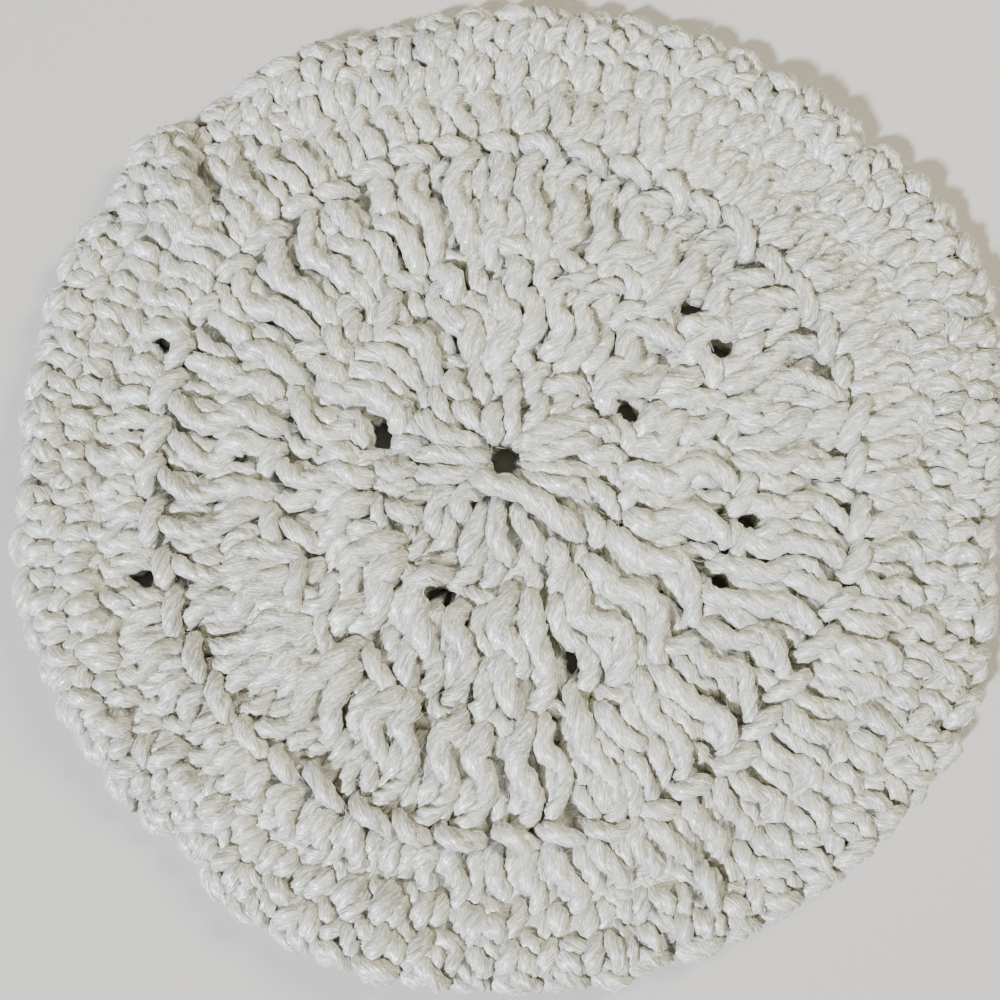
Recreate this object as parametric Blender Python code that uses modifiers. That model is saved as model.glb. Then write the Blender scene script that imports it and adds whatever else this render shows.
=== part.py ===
"""A round crocheted pot holder, worked in one piece of chunky yarn.

Six rounds of stitches grow from a small centre ring: three rounds of tall double crochet, a round
of half doubles that fans out of the ridge of chain loops around them, and two short rounds that
thicken the rim.  The cloth lies flat, is a few millimetres thick and is as uneven as hand work.

The solid is a turned profile.  Its points are then moved by rules: every round has its own centre,
every stitch is raised, folds lift the cloth and the rim swells and draws in.
Tables and names below are in millimetres and degrees; the mesh is in metres, +Z up, with the
origin under the middle of the pot holder's outline.
"""

import math
from collections import namedtuple

import bmesh
import bpy
from mathutils import Matrix, Vector, noise

MM = 0.001

# Driving dimensions.
NAME = "pot_holder"
RIM_RADIUS = 89.4  # half of the usual 7 in across
HOLE_RADIUS = 2.2  # centre ring, 4.4 mm across
HOLE_TOP = 4.2  # cloth height where it turns down into the centre ring
FOOT_RADIUS = 86.6  # the underside is flat as far as this
RIM_MIDDLE = 2.6  # height of the widest line of the rim
TURN_STEPS = 144  # two faces a stitch on the outer rounds
RIM_STEPS = 5  # faces round the rim's edge
YARN = 3.6  # strand of yarn, across

# A row for each round of stitches, from the centre outwards.  edge: radius of its outer edge.
# shift_x, shift_y: its centre, from the centre ring.  top: cloth height at its outer edge.
# ridge: how far the chain loops on its outer edge stand up.  group: stitches worked out of one
# stitch below.  start: angle where a group begins.  raised: how far its stitches stand up.
# rings: faces across it.
Round = namedtuple("Round", "name stitches edge shift_x shift_y top ridge group start raised rings")
ROUNDS = (
    Round("first double", 12, 22.2, -0.3, -3.6, 6.0, 1.0, 1, 7.5, 2.6, 6),
    Round("second double", 24, 40.9, 0.2, -3.7, 5.8, 1.0, 2, 20.0, 2.8, 6),
    Round("third double", 48, 61.1, 0.0, -3.0, 5.6, 2.2, 2, 12.5, 2.6, 6),
    Round("half double", 72, 73.1, 1.3, -2.1, 5.8, 0.4, 3, 5.0, 2.2, 4),
    Round("single", 72, 80.3, 1.4, -1.4, 6.0, 0.6, 1, 0.0, 2.0, 4),
    Round("rim", 72, 86.4, 2.0, 0.0, 5.4, 0.0, 1, 2.5, 2.0, 3),
)
RIDGE_HALF_WIDTH = 1.7
POST_HALF_WIDTH = 0.3  # part of a stitch's share of the round

# A row for each stretch where the outline leaves the round.  outward: how far it swells there.
# reach: how far inwards from the rim the swelling is still felt.
Swell = namedtuple("Swell", "angle spread outward reach")
SWELLS = (
    Swell(28, 15, 4.2, 40),
    Swell(60, 12, 1.0, 20),
    Swell(98, 26, -1.9, 30),
    Swell(140, 3.6, 3.6, 16),
    Swell(152, 7, 2.2, 20),
    Swell(180, 9, -2.2, 16),
    Swell(197, 6, 1.6, 16),
    Swell(229, 4, -3.4, 14),
    Swell(250, 13, 1.6, 20),
    Swell(326, 8, 1.1, 20),
    Swell(352, 10, -4.6, 30),
)

# A row for each fold or hollow of the cloth, an oval with soft sides.  turn: direction of its
# long axis, from +X.  rise: how far the cloth stands up there.
Fold = namedtuple("Fold", "name angle radius turn half_length half_width rise")
FOLDS = (
    Fold("pucker across the outer rounds", 141, 74, 141, 13, 3.6, 2.6),
    Fold("crown of the first round", 90, 12, 0, 16, 11, 1.2),
    Fold("puffed side of the crease", 203, 74, 100, 13, 7, 1.8),
    Fold("crease by the ridge", 217, 67, 170, 12, 3.4, -1.8),
    Fold("crease running to the rim", 227, 81, 227, 9, 3.0, -1.6),
    Fold("crown below the crease", 236, 62, 150, 11, 5, 1.2),
    Fold("raised second round", 20, 34, 110, 12, 5, 0.7),
)

# A row for each eyelet that shows dark between stitches, an oval hole right through the cloth.
# long, wide: its axes.  turn: direction of the long axis, from +X.
Eyelet = namedtuple("Eyelet", "round_below angle radius long wide turn")
EYELETS = (
    Eyelet("first double", 21.5, 23.4, 4.3, 2.6, 125),
    Eyelet("first double", 169.0, 22.1, 5.2, 2.0, 105),
    Eyelet("first double", 245.2, 27.0, 4.4, 2.2, 160),
    Eyelet("second double", 39.3, 43.4, 3.9, 3.5, 150),
    Eyelet("second double", 27.0, 43.1, 3.7, 3.2, 150),
    Eyelet("second double", 345.1, 44.0, 3.3, 3.0, 0),
    Eyelet("second double", 329.5, 43.1, 3.1, 2.3, 60),
    Eyelet("third double", 199.0, 65.5, 3.7, 3.2, 135),
)
EYELET_SIDES = 8
CUTTER_HEIGHT = 30.0

YARN_COLOUR = (0.80, 0.78, 0.72)
YARN_ROUGHNESS = 0.9


def smooth_step(t):
    """Ease from 0 to 1 as t goes from 0 to 1."""
    t = min(max(t, 0.0), 1.0)
    return t * t * (3.0 - 2.0 * t)


def bell(distance, half_width):
    """1 at the middle of a bump, falling off softly to its sides."""
    return math.exp(-((distance / half_width) ** 2))


def angle_between(a, b):
    """Signed angle from b to a, in degrees, from -180 to 180."""
    return (a - b + 180.0) % 360.0 - 180.0


def ring_place(radius, angle):
    """Point at a radius and an angle in degrees about the centre ring."""
    turn = math.radians(angle)
    return Vector((radius * math.cos(turn), radius * math.sin(turn)))


def round_at(radius):
    """The round that a radius lies in, with how far across it the radius is, from 0 to 1."""
    inner = HOLE_RADIUS
    for row in ROUNDS:
        if radius <= row.edge:
            break
        inner = row.edge
    if radius > row.edge:
        return row, 1.0
    return row, (radius - inner) / (row.edge - inner)


def round_centre(radius):
    """Centre of the circle of stitches at a radius, from the centre ring."""
    row, across = round_at(radius)
    index = ROUNDS.index(row)
    start = Vector((ROUNDS[index - 1].shift_x, ROUNDS[index - 1].shift_y)) if index else Vector((0, 0))
    return start.lerp(Vector((row.shift_x, row.shift_y)), across)


def swelling(radius, angle):
    """How far the outline's swells move a point outwards."""
    total = 0.0
    for swell in SWELLS:
        depth = smooth_step(1.0 - (RIM_RADIUS - radius) / swell.reach)
        total += swell.outward * depth * bell(angle_between(angle, swell.angle), swell.spread)
    return total


def stitch_rise(row, across, angle):
    """Raised form of one round's stitches: posts that fan out of one stitch below."""
    groups = row.stitches / row.group
    inside = ((angle - row.start) / 360.0 * groups) % 1.0
    own_height = 1.0 + 0.6 * noise.noise(Vector((angle / 360.0 * row.stitches * 0.5, row.edge, 0.0)))
    height = 0.0
    for number in range(row.group):
        own_place = (number + 0.5) / row.group
        place = 0.5 + (own_place - 0.5) * (0.45 + 0.55 * across)
        half_width = POST_HALF_WIDTH / row.group
        height = max(height, bell(inside - place, half_width))
    waist = 1.0 - 0.35 * bell(across - 0.62, 0.12)
    ends = smooth_step(across / 0.18) * smooth_step((1.0 - across) / 0.12)
    return row.raised * own_height * ends * (waist * height - 0.45)


def ridge_rise(radius, angle):
    """Chain loops that stand up along the outer edge of a round."""
    total = 0.0
    for row in ROUNDS:
        loop = 0.62 + 0.38 * math.cos(math.radians(angle) * row.stitches)
        total += row.ridge * loop * bell(radius - row.edge, RIDGE_HALF_WIDTH)
    return total


def fold_rise(place):
    """Folds and hollows of the cloth at a place about the centre ring."""
    total = 0.0
    for fold in FOLDS:
        offset = place - ring_place(fold.radius, fold.angle)
        along = ring_place(1.0, fold.turn)
        across = Vector((-along.y, along.x))
        reach = bell(offset.dot(along), fold.half_length) * bell(offset.dot(across), fold.half_width)
        total += fold.rise * reach
    return total


def profile_points():
    """Radius and height of the turned profile: out along the top, down the rim, back below."""
    points = [(HOLE_RADIUS, HOLE_TOP)]
    inner = HOLE_RADIUS
    height = HOLE_TOP
    for row in ROUNDS:
        for ring in range(1, row.rings + 1):
            across = ring / row.rings
            points.append((inner + (row.edge - inner) * across, height + (row.top - height) * across))
        inner = row.edge
        height = row.top
    rim_depth = RIM_RADIUS - inner
    for step in range(1, RIM_STEPS):
        turn = math.radians(90.0 - 150.0 * step / RIM_STEPS)
        drop = (height - RIM_MIDDLE) if turn > 0 else RIM_MIDDLE
        points.append((inner + rim_depth * math.cos(turn), RIM_MIDDLE + drop * math.sin(turn)))
    points.append((FOOT_RADIUS, 0.0))
    points.append((ROUNDS[2].edge, 0.0))
    points.append((ROUNDS[0].edge, 0.0))
    points.append((HOLE_RADIUS, 0.0))
    return points


def turned_mesh():
    """The profile as a closed loop of edges, turned about Z by a Screw modifier."""
    points = profile_points()
    mesh = bpy.data.meshes.new("profile")
    corners = [(radius * MM, 0.0, height * MM) for radius, height in points]
    edges = [(index, (index + 1) % len(points)) for index in range(len(points))]
    mesh.from_pydata(corners, edges, [])
    profile = bpy.data.objects.new("profile", mesh)
    bpy.context.scene.collection.objects.link(profile)
    screw = profile.modifiers.new("turn", "SCREW")
    screw.axis = "Z"
    screw.angle = math.tau
    screw.steps = TURN_STEPS
    screw.render_steps = TURN_STEPS
    screw.use_merge_vertices = True
    screw.merge_threshold = 0.00001
    bpy.context.view_layer.update()
    turned = bpy.data.meshes.new_from_object(profile.evaluated_get(bpy.context.evaluated_depsgraph_get()))
    bpy.data.objects.remove(profile)
    return turned


def worked_point(point):
    """Where a point of the even, turned solid lies in the hand-worked pot holder."""
    radius = math.hypot(point.x, point.y) / MM
    angle = math.degrees(math.atan2(point.y, point.x)) % 360.0
    height = point.z / MM
    lift = smooth_step(height / RIM_MIDDLE)
    rim = ROUNDS[-1]
    puff = math.cos(math.radians(angle) * rim.stitches)
    puff *= 0.7 + 0.5 * noise.noise(Vector((angle * 0.21, 0.0, 3.0)))
    outward = swelling(radius, angle) + puff * smooth_step((radius - rim.edge) / 2.0) * lift
    place = round_centre(radius) + ring_place(radius + outward, angle)
    if height > RIM_MIDDLE:
        row, across = round_at(radius)
        rise = stitch_rise(row, across, angle) + ridge_rise(radius, angle) + fold_rise(place)
        rise += 0.5 * noise.noise(Vector((place.x, place.y, 0.0)) / (3.0 * YARN))
        height += rise * smooth_step((height - RIM_MIDDLE) / 2.0)
    return Vector((place.x, place.y, height)) * MM


def outline_middle(mesh):
    """Middle of the box around the mesh, seen from above."""
    xs = [vertex.co.x for vertex in mesh.vertices]
    ys = [vertex.co.y for vertex in mesh.vertices]
    return Vector(((min(xs) + max(xs)) / 2.0, (min(ys) + max(ys)) / 2.0, 0.0))


def yarn_material():
    """Soft ivory-white acrylic yarn, dull with a light sheen."""
    material = bpy.data.materials.new("ivory_yarn")
    material.use_nodes = True
    shader = material.node_tree.nodes["Principled BSDF"]
    shader.inputs["Base Color"].default_value = (*YARN_COLOUR, 1.0)
    shader.inputs["Roughness"].default_value = YARN_ROUGHNESS
    shader.inputs["Metallic"].default_value = 0.0
    shader.inputs["Sheen Weight"].default_value = 0.3
    material.diffuse_color = (*YARN_COLOUR, 1.0)
    return material


def eyelet_cutter(eyelet, middle, collection):
    """An upright oval post that cuts one eyelet through the cloth."""
    form = bmesh.new()
    bmesh.ops.create_cone(form, cap_ends=True, segments=EYELET_SIDES, radius1=0.5, radius2=0.5, depth=1.0)
    size = Matrix.Diagonal((eyelet.long * MM, eyelet.wide * MM, CUTTER_HEIGHT * MM, 1.0))
    turn = Matrix.Rotation(math.radians(eyelet.turn), 4, "Z")
    spot = ring_place(eyelet.radius, eyelet.angle) * MM
    form.transform(Matrix.Translation(Vector((spot.x, spot.y, 0.0)) - middle) @ turn @ size)
    mesh = bpy.data.meshes.new("eyelet")
    form.to_mesh(mesh)
    form.free()
    cutter = bpy.data.objects.new("eyelet_cutter", mesh)
    cutter.hide_render = True
    cutter.display_type = "WIRE"
    collection.objects.link(cutter)
    return cutter


def make_pot_holder(collection, cutters):
    """The whole pot holder: one piece of crochet with its eyelets."""
    mesh = turned_mesh()
    for vertex in mesh.vertices:
        vertex.co = worked_point(vertex.co)
    middle = outline_middle(mesh)
    mesh.transform(Matrix.Translation(-middle))
    form = bmesh.new()
    form.from_mesh(mesh)
    bmesh.ops.recalc_face_normals(form, faces=form.faces)
    form.to_mesh(mesh)
    form.free()
    mesh.shade_smooth()
    mesh.materials.append(yarn_material())
    holder = bpy.data.objects.new(NAME, mesh)
    collection.objects.link(holder)
    for eyelet in EYELETS:
        cut = holder.modifiers.new("eyelet", "BOOLEAN")
        cut.operation = "DIFFERENCE"
        cut.solver = "EXACT"
        cut.object = eyelet_cutter(eyelet, middle, cutters)
    return holder


def clear_scene():
    """Take away whatever the scene holds."""
    for thing in list(bpy.data.objects):
        bpy.data.objects.remove(thing)


def make_collection(name):
    """A collection linked to the scene."""
    collection = bpy.data.collections.new(name)
    bpy.context.scene.collection.children.link(collection)
    return collection


clear_scene()
make_pot_holder(make_collection("crocheted_pot_holder"), make_collection("cutters"))
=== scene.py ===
"""A round crocheted pot holder in ivory-white acrylic yarn, lying flat.

The script follows the work as a maker does it: the cloth's ground, the centre ring, three rounds of
double crochet, the ridge of chain loops, the round of half doubles, the singles and the rim.
Tables are in millimetres and degrees about the centre ring; meshes are in metres.
"""

import math
import random
from collections import namedtuple

import bmesh
import bpy
import numpy as np
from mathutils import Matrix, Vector, kdtree, noise


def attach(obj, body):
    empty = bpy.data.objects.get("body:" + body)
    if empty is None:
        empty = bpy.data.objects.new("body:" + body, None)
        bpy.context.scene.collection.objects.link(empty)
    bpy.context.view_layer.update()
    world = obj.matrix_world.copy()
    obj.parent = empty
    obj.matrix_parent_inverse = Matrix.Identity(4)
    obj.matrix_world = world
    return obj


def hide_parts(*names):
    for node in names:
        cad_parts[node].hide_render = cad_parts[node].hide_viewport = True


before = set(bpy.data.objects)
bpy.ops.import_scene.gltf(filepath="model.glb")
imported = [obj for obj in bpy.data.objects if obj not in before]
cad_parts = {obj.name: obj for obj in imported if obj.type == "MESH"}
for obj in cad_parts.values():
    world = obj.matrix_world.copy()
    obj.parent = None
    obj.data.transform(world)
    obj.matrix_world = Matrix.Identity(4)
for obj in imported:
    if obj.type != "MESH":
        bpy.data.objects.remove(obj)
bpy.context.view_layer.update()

# ---------------------------------------------------------------------------------------------
# The ground of the cloth.  Crochet is one fabric: behind the raised stitches the same yarn lies
# felted together.  Here it is a thin sheet between the stitches' fronts and their backs, in the
# rounds, folds and uneven outline of hand work, with the eyelets left open.
# ---------------------------------------------------------------------------------------------
MM = 0.001
HOLDER = "pot_holder"
RIM_RADIUS = 89.4
HOLE_RADIUS = 2.2
RING_PLACE = Vector((-2.54, 0.95))  # centre ring, from the middle of the outline

Round = namedtuple("Round", "name stitches edge shift_x shift_y")
ROUNDS = (
    Round("first double", 12, 22.2, -0.3, -3.6),
    Round("second double", 24, 40.9, 0.2, -3.7),
    Round("third double", 48, 61.1, 0.0, -3.0),
    Round("half double", 72, 73.1, 1.3, -2.1),
    Round("single", 72, 80.3, 1.4, -1.4),
    Round("rim", 72, 86.4, 2.0, 0.0),
)

Swell = namedtuple("Swell", "angle spread outward reach")
SWELLS = (
    Swell(28, 15, 4.2, 40),
    Swell(60, 12, 1.0, 20),
    Swell(98, 26, -1.9, 30),
    Swell(140, 3.6, 3.6, 16),
    Swell(152, 7, 2.2, 20),
    Swell(180, 9, -2.2, 16),
    Swell(197, 6, 1.6, 16),
    Swell(229, 4, -3.4, 14),
    Swell(250, 13, 1.6, 20),
    Swell(326, 8, 1.1, 20),
    Swell(352, 10, -4.6, 30),
)

Fold = namedtuple("Fold", "name angle radius turn half_length half_width rise")
FOLDS = (
    Fold("pucker, outer lip", 141.0, 75.0, 116, 12, 3.9, 5.6),
    Fold("pucker, inner lip", 135.0, 67.5, 118, 8, 2.8, 3.2),
    Fold("crease beside the lips", 137.6, 71.9, 116, 10, 1.5, -2.0),
    Fold("hollow beside the pucker", 146, 76, 113, 9, 2.6, -1.4),
    Fold("crown of the first round", 90, 12, 0, 16, 11, 1.2),
    Fold("puffed side of the crease", 204, 78, 110, 13, 8, 1.6),
    Fold("crease by the ridge", 217, 74, 175, 8, 2.2, -1.8),
    Fold("lip of the lower crease", 224, 77, 154, 11, 3.4, 2.0),
    Fold("lower crease", 226, 82.5, 154, 10, 2.2, -2.4),
    Fold("raised second round", 20, 34, 110, 12, 5, 0.7),
)

Eyelet = namedtuple("Eyelet", "angle radius across along turn")
EYELETS = (
    Eyelet(21.5, 23.4, 3.0, 1.4, 130),
    Eyelet(169.0, 22.1, 2.8, 3.2, 100),
    Eyelet(245.2, 27.0, 2.6, 2.4, 155),
    Eyelet(39.3, 43.4, 3.3, 0.8, 140),
    Eyelet(27.0, 43.1, 3.0, 1.0, 140),
    Eyelet(345.1, 44.0, 2.9, 0.4, 0),
    Eyelet(329.5, 43.1, 2.2, 0.8, 70),
    Eyelet(288.1, 37.0, 2.2, 0.6, 80),
    Eyelet(199.0, 65.5, 3.0, 0.8, 140),
    Eyelet(161.8, 63.9, 1.6, 0.0, 0),
)


def smooth_step(t):
    t = min(max(t, 0.0), 1.0)
    return t * t * (3.0 - 2.0 * t)


def bell(distance, half_width):
    return math.exp(-((distance / half_width) ** 2))


def ring_point(radius, angle):
    turn = math.radians(angle)
    return Vector((radius * math.cos(turn), radius * math.sin(turn)))


def round_centre(radius):
    """Centre of the circle of stitches at a radius, from the centre ring."""
    inner, start = HOLE_RADIUS, Vector((0.0, 0.0))
    for row in ROUNDS:
        end = Vector((row.shift_x, row.shift_y))
        if radius <= row.edge:
            return start.lerp(end, max(radius - inner, 0.0) / (row.edge - inner))
        inner, start = row.edge, end
    return start


def swelling(radius, angle):
    total = 0.0
    for swell in SWELLS:
        off = (angle - swell.angle + 180.0) % 360.0 - 180.0
        depth = smooth_step(1.0 - (RIM_RADIUS - radius) / swell.reach)
        total += swell.outward * depth * bell(off, swell.spread)
    return total


def fold_rise(place):
    total = 0.0
    for fold in FOLDS:
        offset = place - ring_point(fold.radius, fold.angle)
        along = ring_point(1.0, fold.turn)
        aside = Vector((-along.y, along.x))
        lengthwise = bell(offset.dot(along), fold.half_length)
        total += fold.rise * lengthwise * bell(offset.dot(aside), fold.half_width)
    return total


UNEVEN = 1.3  # how far hand-worked stitches stray sideways, in waves of 13 mm
UNEVEN_WAVE = 13.0
UNEVEN_RISE = 2.2  # and how far up and down
EVEN_MARGIN = 12.0  # the straying fades out this far from the ring and from the rim
RAISED = 4.0  # points from this height up ride fully on the folds, the back stays flat
UNEVEN_SEED = 4
noise.seed_set(UNEVEN_SEED)  # unseeded, Blender's noise vectors change with the clock


def worked_place(radius, angle, up):
    """Where a point of the even mat lies in the hand-worked one, in millimetres."""
    place = round_centre(radius) + ring_point(radius + swelling(radius, angle), angle)
    inside = smooth_step((RIM_RADIUS - radius) / EVEN_MARGIN) * smooth_step(radius / EVEN_MARGIN)
    drift = noise.noise_vector(place.to_3d() / UNEVEN_WAVE)
    place += drift.to_2d() * UNEVEN * inside
    up += (fold_rise(place) + UNEVEN_RISE * drift.z) * smooth_step(up / RAISED)
    place += RING_PLACE
    return Vector((place.x, place.y, up))


GROUND_HEIGHTS = (  # radius, height
    (0.0, 5.0),
    (16.0, 5.4),
    (26.0, 3.9),
    (50.0, 3.8),
    (58.0, 4.4),
    (66.0, 5.8),
    (76.0, 5.7),
    (90.0, 4.9),
)
GROUND_INNER = HOLE_RADIUS + 1.2
GROUND_OUTER = RIM_RADIUS - 5.0
GROUND_RINGS = 40
GROUND_SPOKES = 180
GROUND_SWELL = 0.5
GROUND_SWELL_WAVE = 3.0
GROUND_THICKNESS = 0.8
EYELET_MARGIN = 1.4  # the ground stops this far short of an eyelet


def linear(hex_colour):
    """An sRGB hex colour as linear red, green, blue and alpha."""
    parts = [int(hex_colour[i : i + 2], 16) / 255.0 for i in (1, 3, 5)]
    return tuple(p / 12.92 if p <= 0.04045 else ((p + 0.055) / 1.055) ** 2.4 for p in parts) + (1.0,)


def add_node(material, kind, settings=None, **links):
    """Adds a node; settings are its own, and each link or value goes to the input of that name."""
    tree = material.node_tree
    node = tree.nodes.new(kind)
    for name, value in (settings or {}).items():
        setattr(node, name, value)
    for name, value in links.items():
        socket = node.inputs[name.replace("_", " ")]
        if isinstance(value, bpy.types.NodeSocket):
            tree.links.new(value, socket)
        else:
            socket.default_value = value
    return node


# Noises that follow the strand, in waves a millimetre across it and along it.
Streak = namedtuple("Streak", "name across along detail distortion")
STREAKS = (
    # slivers: bundles of fibres 0.7 mm wide that run about 7 mm before they dive into the strand
    Streak("sliver", 1.4, 0.15, 1.0, 0.5),
    # fibres: streaks 0.3 mm wide and 1.6 mm long, coarser than real fibres of 0.02 mm
    Streak("fibre", 3.4, 0.6, 2.0, 1.0),
    # nap: the fuzz of broken fibre ends over the strand, in tufts of 0.3 mm
    Streak("nap", 3.6, 2.4, 3.0, 1.2),
    # painted glints: white streaks 0.2 mm wide and 0.9 mm long, painted in where fibres catch the light
    Streak("painted_glint", 4.8, 1.1, 2.0, 1.0),
)


def acrylic_yarn():
    """Soft spun acrylic: cream fibres laid along the strand, with glints painted in as white streaks."""
    material = bpy.data.materials.new("acrylic_yarn")
    material.use_nodes = True
    tree = material.node_tree
    shader = tree.nodes["Principled BSDF"]
    strand = add_node(material, "ShaderNodeAttribute", {"attribute_name": "strand"}).outputs["Vector"]
    noises = {}
    for streak in STREAKS:
        scale = (streak.across, streak.across, streak.along)
        place = add_node(material, "ShaderNodeMapping", {}, Vector=strand, Scale=scale).outputs["Vector"]
        noisy = add_node(
            material, "ShaderNodeTexNoise", {}, Vector=place, Scale=1.0, Detail=streak.detail,
            Distortion=streak.distortion,
        )
        noises[streak.name] = noisy.outputs["Fac"]
    together = add_node(material, "ShaderNodeMath", {"operation": "ADD"})
    tree.links.new(noises["fibre"], together.inputs[0])
    tree.links.new(noises["nap"], together.inputs[1])
    both = add_node(material, "ShaderNodeMath", {"operation": "MULTIPLY_ADD"})
    tree.links.new(together.outputs["Value"], both.inputs[0])
    both.inputs[1].default_value = 0.5
    tree.links.new(noises["sliver"], both.inputs[2])
    # broad patches about 20 mm across, some a little darker than the rest
    spot = add_node(material, "ShaderNodeTexCoord").outputs["Object"]
    broad_patches = add_node(material, "ShaderNodeTexNoise", {}, Vector=spot, Scale=55.0, Detail=2.0)
    lower = add_node(material, "ShaderNodeMath", {"operation": "SUBTRACT"})
    tree.links.new(both.outputs["Value"], lower.inputs[0])
    lower.inputs[1].default_value = 0.27  # brings the sum's middle close to the lightest cream
    shade = add_node(material, "ShaderNodeMath", {"operation": "MULTIPLY_ADD"})
    tree.links.new(broad_patches.outputs["Fac"], shade.inputs[0])
    shade.inputs[1].default_value = 0.5
    tree.links.new(lower.outputs["Value"], shade.inputs[2])
    cream = add_node(material, "ShaderNodeValToRGB", {}, Fac=shade.outputs["Value"])
    cream.color_ramp.elements[0].position = 0.78
    cream.color_ramp.elements[0].color = linear("#8D8C7A")
    cream.color_ramp.elements[1].position = 1.0
    cream.color_ramp.elements[1].color = linear("#B6B5A5")
    cream.color_ramp.elements.new(0.90).color = linear("#A4A291")
    # painted glints: where this noise is high, the colour is painted white as a highlight
    share = add_node(material, "ShaderNodeMapRange", {}, Value=noises["painted_glint"])
    share.inputs["From Min"].default_value = 0.52
    share.inputs["From Max"].default_value = 0.68
    # a colour mix has its two colours at inputs 6 and 7 and its result at output 2
    colour = add_node(material, "ShaderNodeMix", {"data_type": "RGBA"})
    tree.links.new(share.outputs["Result"], colour.inputs["Factor"])
    tree.links.new(cream.outputs["Color"], colour.inputs[6])
    colour.inputs[7].default_value = linear("#FFFFFA")
    tree.links.new(colour.outputs[2], shader.inputs["Base Color"])
    gloss = add_node(material, "ShaderNodeMapRange", {}, Value=noises["fibre"])
    gloss.inputs["From Min"].default_value = 0.40
    gloss.inputs["From Max"].default_value = 0.60
    gloss.inputs["To Min"].default_value = 0.52
    gloss.inputs["To Max"].default_value = 0.2
    tree.links.new(gloss.outputs["Result"], shader.inputs["Roughness"])
    soft = add_node(material, "ShaderNodeBump", {}, Height=noises["sliver"], Strength=1.0, Distance=0.0002)
    fine = add_node(
        material, "ShaderNodeBump", {}, Height=together.outputs["Value"], Strength=1.0, Distance=0.00005,
        Normal=soft.outputs["Normal"],
    )
    tree.links.new(fine.outputs["Normal"], shader.inputs["Normal"])
    shader.inputs["IOR"].default_value = 1.49
    shader.inputs["Specular IOR Level"].default_value = 1.0
    shader.inputs["Sheen Weight"].default_value = 0.1
    shader.inputs["Sheen Roughness"].default_value = 0.5
    return material


yarn_finish = acrylic_yarn()


def make_ground():
    """A flat sheet of small faces round the ring, less its eyelets, thickened to both sides."""
    form = bmesh.new()
    rows, rests = [], []
    for ring in range(GROUND_RINGS + 1):
        radius = GROUND_INNER + (GROUND_OUTER - GROUND_INNER) * ring / GROUND_RINGS
        height = float(np.interp(radius, *zip(*GROUND_HEIGHTS)))
        row = []
        for spoke in range(GROUND_SPOKES):
            angle = 360.0 * spoke / GROUND_SPOKES
            place = worked_place(radius, angle, height)
            place.z += GROUND_SWELL * noise.noise(place / GROUND_SWELL_WAVE)
            row.append(form.verts.new(place * MM))
            rests.append((radius, height, math.radians(angle) * radius))
        rows.append(row)
    form.verts.index_update()
    holes = []
    for eyelet in EYELETS:
        spot = ring_point(eyelet.radius, eyelet.angle) + RING_PLACE
        holes.append((spot, eyelet.across / 2.0 + EYELET_MARGIN))
    for inner, outer in zip(rows, rows[1:]):
        for spoke in range(GROUND_SPOKES):
            after = (spoke + 1) % GROUND_SPOKES
            corners = (inner[spoke], outer[spoke], outer[after], inner[after])
            middle = sum((c.co.to_2d() for c in corners), Vector((0.0, 0.0))) / 4.0 / MM
            if all((middle - spot).length > reach for spot, reach in holes):
                form.faces.new(corners)
    kept = [v.index for v in form.verts if v.link_faces]
    bmesh.ops.delete(form, geom=[v for v in form.verts if not v.link_faces], context="VERTS")
    mesh = bpy.data.meshes.new("cloth_ground")
    form.to_mesh(mesh)
    form.free()
    rest = mesh.attributes.new("strand", "FLOAT_VECTOR", "POINT")
    rest.data.foreach_set("vector", np.array([rests[k] for k in kept], np.float32).ravel())
    mesh.shade_smooth()
    mesh.materials.append(yarn_finish)
    ground = bpy.data.objects.new("cloth_ground", mesh)
    bpy.context.scene.collection.objects.link(ground)
    thick = ground.modifiers.new("thickness", "SOLIDIFY")
    thick.thickness = GROUND_THICKNESS * MM
    thick.offset = 0.0
    return ground


ground = make_ground()
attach(ground, "root")
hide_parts(HOLDER)

# ---------------------------------------------------------------------------------------------
# The yarn.  Four soft plies, 4 mm thick where it lies slack and thinner and tighter where it is
# drawn through a loop.  Strands are laid by the hook, then pushed apart until they lie packed.
# ---------------------------------------------------------------------------------------------
YARN = 4.0
PLIES = 4
SLACK_TWIST = 17.0  # length of one turn of a slack strand
TIGHTEST, SLACKEST = 0.4, 1.3  # limits of that length, as shares
PLY_GROOVE = 0.2  # depth of the grooves between plies, as a share of the radius
SIDES = 16
BACK_SIDES = 10
RING_STEP = 1.15
START_SIDE = (0.31, 0.22, 0.93)  # any direction that no strand starts along
END_SHARE = 0.45  # the ends are drawn in to this share of the radius
END_LENGTH = 1.6
SLUBS = ((0.07, 1.1, 1.0), (0.05, 2.3, -1.0))  # depth, rate along the strand, way of the start
OVAL, OVAL_RATE = 0.07, 0.9
THREE_SIDED, THREE_SIDED_RATE = 0.05, 0.7
TABLE_CLEAR = 0.02  # the underside stays this far over the table

# A bend is a point of a strand: how far out, as a share of the stitch or in millimetres for a loop,
# how far aside as a share of the stitch's width, its height, and its share of the strand's thickness.
Bend = namedtuple("Bend", "out side up thick")
HAND_SEED = 12
hand = random.Random(HAND_SEED)

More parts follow.
